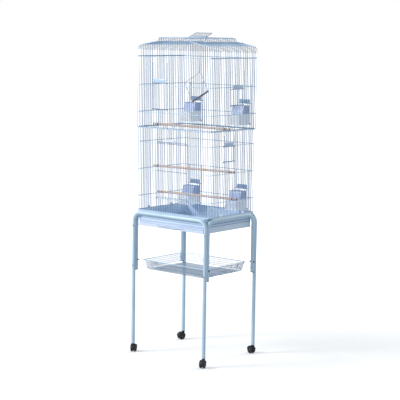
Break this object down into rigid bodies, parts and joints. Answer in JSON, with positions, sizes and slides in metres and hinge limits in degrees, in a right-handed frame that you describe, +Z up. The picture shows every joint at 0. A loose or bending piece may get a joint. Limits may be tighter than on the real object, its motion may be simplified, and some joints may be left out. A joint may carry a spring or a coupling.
{
  "type": "bird cage on stand",
  "caption": "Two-section wire bird cage with a shouldered roof, lift-up doors, feeder cups, perches and a swing, on a wheeled tube stand with a wire basket.",
  "frame": {"origin": "on the floor under the middle of the cage", "axes": "+Z up, +X to the viewer's right facing the tray's front, +Y to the back"},
  "size_m": [0.5347, 0.4662, 1.6813],
  "materials": {
    "powder_coated_tube": "pale ice-blue powder coat",
    "coated_wire": "pale blue-white coated wire",
    "zinc_steel": "zinc plated",
    "pale_blue_plastic": "moulded, satin",
    "white_plastic": "moulded, satin",
    "black_plastic": "moulded, matt",
    "wheel_plastic": "hard nylon wheel",
    "perch_wood": "bare turned dowel",
    "dark_wood": "dark stained dowel"
  },
  "bodies": {
    "stand_and_cage": {"base_clips": "white_plastic", "base_tub": "pale_blue_plastic", "basket": "coated_wire", "basket_screws": "zinc_steel", "caster_sockets": "black_plastic", "frame_bolts": "zinc_steel", "frame_end_caps": "black_plastic", "frame_nuts": "zinc_steel", "lower_back_wall": "coated_wire", "lower_front_wall": "coated_wire", "lower_left_wall": "coated_wire", "lower_leg_back_left": "powder_coated_tube", "lower_leg_back_right": "powder_coated_tube", "lower_leg_front_left": "powder_coated_tube", "lower_leg_front_right": "powder_coated_tube", "lower_right_wall": "coated_wire", "perch_bottom": "perch_wood", "perch_end_caps": "black_plastic", "perch_middle": "perch_wood", "perch_top": "perch_wood", "roof": "coated_wire", "section_clips": "white_plastic", "stand_back_frame": "powder_coated_tube", "stand_front_frame": "powder_coated_tube", "stand_left_frame": "powder_coated_tube", "stand_right_frame": "powder_coated_tube", "upper_back_wall": "coated_wire", "upper_front_wall": "coated_wire", "upper_left_wall": "coated_wire", "upper_right_wall": "coated_wire"},
    "caster_swivel_front_left": {"caster_fork_front_left": "black_plastic", "caster_axle_front_left": "zinc_steel"},
    "caster_wheels_front_left": {"caster_wheels_front_left": "wheel_plastic"},
    "caster_swivel_front_right": {"caster_fork_front_right": "black_plastic", "caster_axle_front_right": "zinc_steel"},
    "caster_wheels_front_right": {"caster_wheels_front_right": "wheel_plastic"},
    "caster_swivel_back_left": {"caster_fork_back_left": "black_plastic", "caster_axle_back_left": "zinc_steel"},
    "caster_wheels_back_left": {"caster_wheels_back_left": "wheel_plastic"},
    "caster_swivel_back_right": {"caster_fork_back_right": "black_plastic", "caster_axle_back_right": "zinc_steel"},
    "caster_wheels_back_right": {"caster_wheels_back_right": "wheel_plastic"},
    "tray": {"pull_out_tray": "pale_blue_plastic"},
    "main_door": {"front_main_door": "coated_wire", "front_door_clip": "white_plastic"},
    "upper_front_door": {"front_upper_door": "coated_wire"},
    "upper_side_door": {"side_door_upper": "coated_wire"},
    "lower_side_door": {"side_door_lower": "coated_wire"},
    "feeder_door_lower_left": {"feeder_door_lower_left": "coated_wire"},
    "feeder_cup_lower_left": {"feeder_cup_lower_left": "white_plastic"},
    "feeder_door_lower_right": {"feeder_door_lower_right": "coated_wire"},
    "feeder_cup_lower_right": {"feeder_cup_lower_right": "white_plastic"},
    "feeder_door_upper_left": {"feeder_door_upper_left": "coated_wire"},
    "feeder_cup_upper_left": {"feeder_cup_upper_left": "white_plastic"},
    "feeder_door_upper_right": {"feeder_door_upper_right": "coated_wire"},
    "feeder_cup_upper_right": {"feeder_cup_upper_right": "white_plastic"},
    "hatch": {"roof_hatch": "coated_wire"},
    "swing": {"swing_stirrup": "zinc_steel", "swing_perch": "dark_wood"}
  },
  "joints": [
    {"name": "caster_swivel_front_left", "type": "hinge", "parent": "stand_and_cage", "child": "caster_swivel_front_left", "pos_m": [-0.242, -0.204, 0.03], "axis": [0, 0, 1], "continuous": true},
    {"name": "wheel_spin_front_left", "type": "hinge", "parent": "caster_swivel_front_left", "child": "caster_wheels_front_left", "pos_m": [-0.24707, -0.19312, 0.0195], "axis": [0.9063, 0.4226, 0], "continuous": true},
    {"name": "caster_swivel_front_right", "type": "hinge", "parent": "stand_and_cage", "child": "caster_swivel_front_right", "pos_m": [0.242, -0.204, 0.03], "axis": [0, 0, 1], "continuous": true},
    {"name": "wheel_spin_front_right", "type": "hinge", "parent": "caster_swivel_front_right", "child": "caster_wheels_front_right", "pos_m": [0.2461, -0.21528, 0.0195], "axis": [-0.9397, -0.342, 0], "continuous": true},
    {"name": "caster_swivel_back_left", "type": "hinge", "parent": "stand_and_cage", "child": "caster_swivel_back_left", "pos_m": [-0.242, 0.204, 0.03], "axis": [0, 0, 1], "continuous": true},
    {"name": "wheel_spin_back_left", "type": "hinge", "parent": "caster_swivel_back_left", "child": "caster_wheels_back_left", "pos_m": [-0.2461, 0.19272, 0.0195], "axis": [-0.9397, 0.342, 0], "continuous": true},
    {"name": "caster_swivel_back_right", "type": "hinge", "parent": "stand_and_cage", "child": "caster_swivel_back_right", "pos_m": [0.242, 0.204, 0.03], "axis": [0, 0, 1], "continuous": true},
    {"name": "wheel_spin_back_right", "type": "hinge", "parent": "caster_swivel_back_right", "child": "caster_wheels_back_right", "pos_m": [0.23041, 0.20711, 0.0195], "axis": [0.2588, 0.9659, 0], "continuous": true},
    {"name": "tray_slide", "type": "slide", "parent": "stand_and_cage", "child": "tray", "axis": [0, -1, 0], "range_m": [0, 0.33]},
    {"name": "main_door_hinge", "type": "hinge", "parent": "stand_and_cage", "child": "main_door", "pos_m": [0, -0.188, 0.833], "axis": [1, 0, 0], "range_deg": [0, 110]},
    {"name": "upper_front_door_lift", "type": "slide", "parent": "stand_and_cage", "child": "upper_front_door", "axis": [0, 0, 1], "range_m": [0, 0.095]},
    {"name": "upper_side_door_lift", "type": "slide", "parent": "stand_and_cage", "child": "upper_side_door", "axis": [0, 0, 1], "range_m": [0, 0.08]},
    {"name": "lower_side_door_lift", "type": "slide", "parent": "stand_and_cage", "child": "lower_side_door", "axis": [0, 0, 1], "range_m": [0, 0.046]},
    {"name": "feeder_door_lower_left_lift", "type": "slide", "parent": "stand_and_cage", "child": "feeder_door_lower_left", "axis": [0, 0, 1], "range_m": [0, 0.09]},
    {"name": "feeder_cup_lower_left_lift", "type": "slide", "parent": "stand_and_cage", "child": "feeder_cup_lower_left", "axis": [0, 0, 1], "range_m": [0, 0.008]},
    {"name": "feeder_door_lower_right_lift", "type": "slide", "parent": "stand_and_cage", "child": "feeder_door_lower_right", "axis": [0, 0, 1], "range_m": [0, 0.09]},
    {"name": "feeder_cup_lower_right_lift", "type": "slide", "parent": "stand_and_cage", "child": "feeder_cup_lower_right", "axis": [0, 0, 1], "range_m": [0, 0.008]},
    {"name": "feeder_door_upper_left_lift", "type": "slide", "parent": "stand_and_cage", "child": "feeder_door_upper_left", "axis": [0, 0, 1], "range_m": [0, 0.09]},
    {"name": "feeder_cup_upper_left_lift", "type": "slide", "parent": "stand_and_cage", "child": "feeder_cup_upper_left", "axis": [0, 0, 1], "range_m": [0, 0.008]},
    {"name": "feeder_door_upper_right_lift", "type": "slide", "parent": "stand_and_cage", "child": "feeder_door_upper_right", "axis": [0, 0, 1], "range_m": [0, 0.09]},
    {"name": "feeder_cup_upper_right_lift", "type": "slide", "parent": "stand_and_cage", "child": "feeder_cup_upper_right", "axis": [0, 0, 1], "range_m": [0, 0.008]},
    {"name": "hatch_hinge", "type": "hinge", "parent": "stand_and_cage", "child": "hatch", "pos_m": [0, 0.005, 1.66], "axis": [1, 0, 0], "range_deg": [-22, 100]},
    {"name": "swing_pivot", "type": "hinge", "parent": "stand_and_cage", "child": "swing", "pos_m": [0.023, 0, 1.655], "axis": [1, 0, 0], "range_deg": [-30, 30]}
  ]
}
